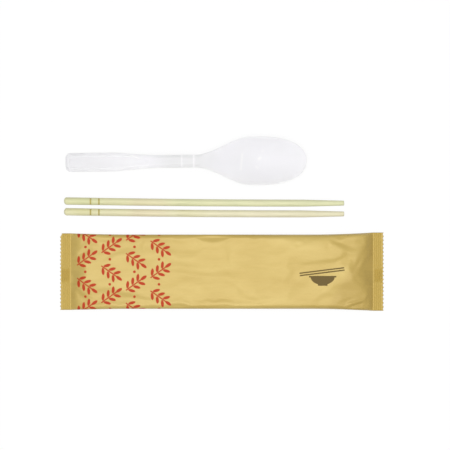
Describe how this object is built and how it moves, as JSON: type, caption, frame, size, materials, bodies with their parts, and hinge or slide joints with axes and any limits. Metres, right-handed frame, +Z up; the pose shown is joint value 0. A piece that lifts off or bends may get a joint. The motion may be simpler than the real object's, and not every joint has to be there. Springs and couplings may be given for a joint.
{
  "type": "disposable spoon and chopstick set",
  "caption": "Single-use cutlery laid out flat: a moulded plastic spoon and round bamboo chopsticks above a sealed paper pack that holds the same.",
  "frame": {"origin": "on the table, below the middle of the whole layout", "axes": "+X along the pieces, from the spoon's handle towards its bowl; +Y across the layout, from the pack towards the spoon; +Z up from the table"},
  "size_m": [0.2312, 0.1242, 0.0125],
  "materials": {
    "white_plastic": "moulded polypropylene, slightly translucent, with a soft gloss",
    "bamboo": "turned bamboo, unvarnished, with fine grain along its length",
    "kraft_paper": "golden kraft paper with a low satin sheen, heat-sealed at its ends, with a printed pattern"
  },
  "bodies": {
    "root": {"spoon": "white_plastic", "chopstick_upper": "bamboo", "chopstick_lower": "bamboo", "sealed_pack": "kraft_paper"}
  },
  "joints": []
}
